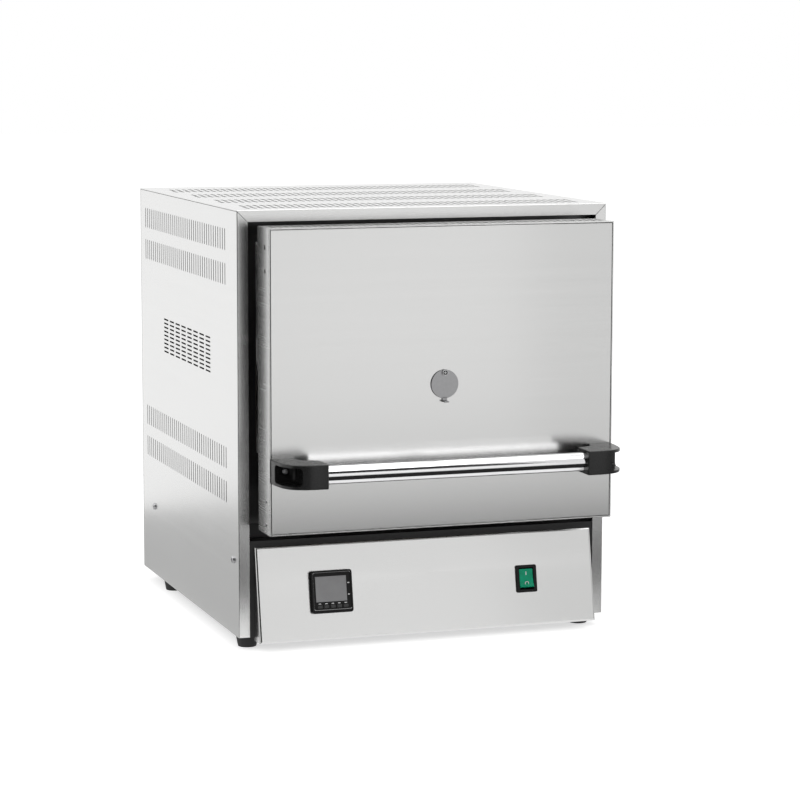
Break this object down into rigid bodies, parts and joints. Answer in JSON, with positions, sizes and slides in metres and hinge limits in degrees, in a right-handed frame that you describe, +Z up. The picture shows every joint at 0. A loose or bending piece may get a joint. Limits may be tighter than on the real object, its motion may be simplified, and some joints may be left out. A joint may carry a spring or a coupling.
{
  "type": "muffle furnace",
  "caption": "Bench-top muffle furnace in brushed stainless steel: vented casing, lift-up door on parallel arms with a bar handle and sight hole, sloped panel with controller and rocker switch.",
  "frame": {"origin": "on the floor, below the middle of the whole object's bounding box", "axes": "+Z up, the door and panel face -Y, +X is the right of someone who faces the door"},
  "size_m": [0.4448, 0.5929, 0.495],
  "materials": {
    "stainless_brushed": "fine brushed grain",
    "stainless_plain": "cold rolled, satin",
    "black_enamel": "satin black powder coat",
    "rubber_black": "matte",
    "steel_zinc": "bright zinc",
    "ceramic_fibre": "vacuum-formed fibre, matte",
    "dense_ceramic": "unglazed",
    "heater_wire": "oxidised resistance wire",
    "chrome_tube": "polished",
    "cover_steel": "satin",
    "plastic_black": "fine moulded grain",
    "key_plastic": "matte",
    "window_glass": "tinted window over a blank display",
    "rocker_green": "translucent green",
    "sink_aluminium": "extruded"
  },
  "bodies": {
    "cabinet": {"base_tray": "black_enamel", "rubber_feet": "rubber_black", "deck_plate": "black_enamel", "left_side_panel": "stainless_brushed", "right_side_panel": "stainless_brushed", "top_panel": "stainless_brushed", "rear_panel": "stainless_brushed", "casing_screws": "steel_zinc", "front_plate": "stainless_plain", "inner_shell": "stainless_plain", "shell_rails": "steel_zinc", "floor_board": "ceramic_fibre", "roof_board": "ceramic_fibre", "rear_board": "ceramic_fibre", "left_heater_board": "ceramic_fibre", "right_heater_board": "ceramic_fibre", "left_heating_coil": "heater_wire", "right_heating_coil": "heater_wire", "hearth_plate": "dense_ceramic", "thermocouple": "dense_ceramic", "element_terminals": "dense_ceramic", "pivot_plates": "steel_zinc", "pivot_studs": "steel_zinc", "pivot_cap_nuts": "steel_zinc", "control_panel": "stainless_brushed", "controller_bezel": "plastic_black", "controller_window": "window_glass", "controller_case": "plastic_black", "switch_housing": "plastic_black", "relay_heat_sink": "sink_aluminium", "solid_state_relay": "plastic_black", "terminal_block": "plastic_black", "cable_gland": "plastic_black"},
    "lift_arms": {"left_lift_arm": "steel_zinc", "right_lift_arm": "steel_zinc"},
    "guide_arms": {"left_guide_arm": "steel_zinc", "right_guide_arm": "steel_zinc"},
    "door": {"door_frame": "stainless_brushed", "door_front_sheet": "stainless_brushed", "door_liner": "stainless_plain", "door_blanket": "ceramic_fibre", "door_fibre_block": "ceramic_fibre", "door_plug": "ceramic_fibre", "sight_tube": "dense_ceramic", "door_ears": "steel_zinc", "door_pivot_pins": "steel_zinc", "door_rivets": "steel_zinc", "left_handle_bracket": "plastic_black", "right_handle_bracket": "plastic_black", "handle_tube": "chrome_tube", "handle_screws": "steel_zinc", "cover_pivot_screw": "steel_zinc"},
    "peephole_cover": {"peephole_cover": "cover_steel"},
    "power_rocker": {"power_rocker": "rocker_green"},
    "controller_key_1": {"controller_key_1": "key_plastic"},
    "controller_key_2": {"controller_key_2": "key_plastic"},
    "controller_key_3": {"controller_key_3": "key_plastic"},
    "controller_key_4": {"controller_key_4": "key_plastic"},
    "controller_key_5": {"controller_key_5": "key_plastic"}
  },
  "joints": [
    {"name": "door_lift", "type": "hinge", "parent": "cabinet", "child": "lift_arms", "pos_m": [0, -0.11541, 0.421], "axis": [-1, 0, 0], "range_deg": [0, 99]},
    {"name": "door_hang", "type": "hinge", "parent": "lift_arms", "child": "door", "pos_m": [0, -0.1835, 0.24362], "axis": [-1, 0, 0], "range_deg": [-100, 1]},
    {"name": "guide_arm_swing", "type": "hinge", "parent": "cabinet", "child": "guide_arms", "pos_m": [0, -0.11541, 0.351], "axis": [-1, 0, 0], "range_deg": [-1, 100]},
    {"name": "cover_swing", "type": "hinge", "parent": "door", "child": "peephole_cover", "pos_m": [0, -0.2408, 0.3153], "axis": [0, 1, 0], "range_deg": [-120, 120]},
    {"name": "rocker_tilt", "type": "hinge", "parent": "cabinet", "child": "power_rocker", "pos_m": [0.119, -0.18577, 0.06475], "axis": [1, 0, 0], "range_deg": [0, 16]},
    {"name": "key_1_press", "type": "slide", "parent": "cabinet", "child": "controller_key_1", "axis": [0, 0.9825, -0.1865], "range_m": [0, 0.0008], "stiffness_N_per_m": 400, "springref_m": -0.0004},
    {"name": "key_2_press", "type": "slide", "parent": "cabinet", "child": "controller_key_2", "axis": [0, 0.9825, -0.1865], "range_m": [0, 0.0008], "stiffness_N_per_m": 400, "springref_m": -0.0004},
    {"name": "key_3_press", "type": "slide", "parent": "cabinet", "child": "controller_key_3", "axis": [0, 0.9825, -0.1865], "range_m": [0, 0.0008], "stiffness_N_per_m": 400, "springref_m": -0.0004},
    {"name": "key_4_press", "type": "slide", "parent": "cabinet", "child": "controller_key_4", "axis": [0, 0.9825, -0.1865], "range_m": [0, 0.0008], "stiffness_N_per_m": 400, "springref_m": -0.0004},
    {"name": "key_5_press", "type": "slide", "parent": "cabinet", "child": "controller_key_5", "axis": [0, 0.9825, -0.1865], "range_m": [0, 0.0008], "stiffness_N_per_m": 400, "springref_m": -0.0004}
  ],
  "couplings": [
    {"joint": "door_hang", "follows": "door_lift", "ratio": -1},
    {"joint": "guide_arm_swing", "follows": "door_lift", "ratio": 1}
  ]
}
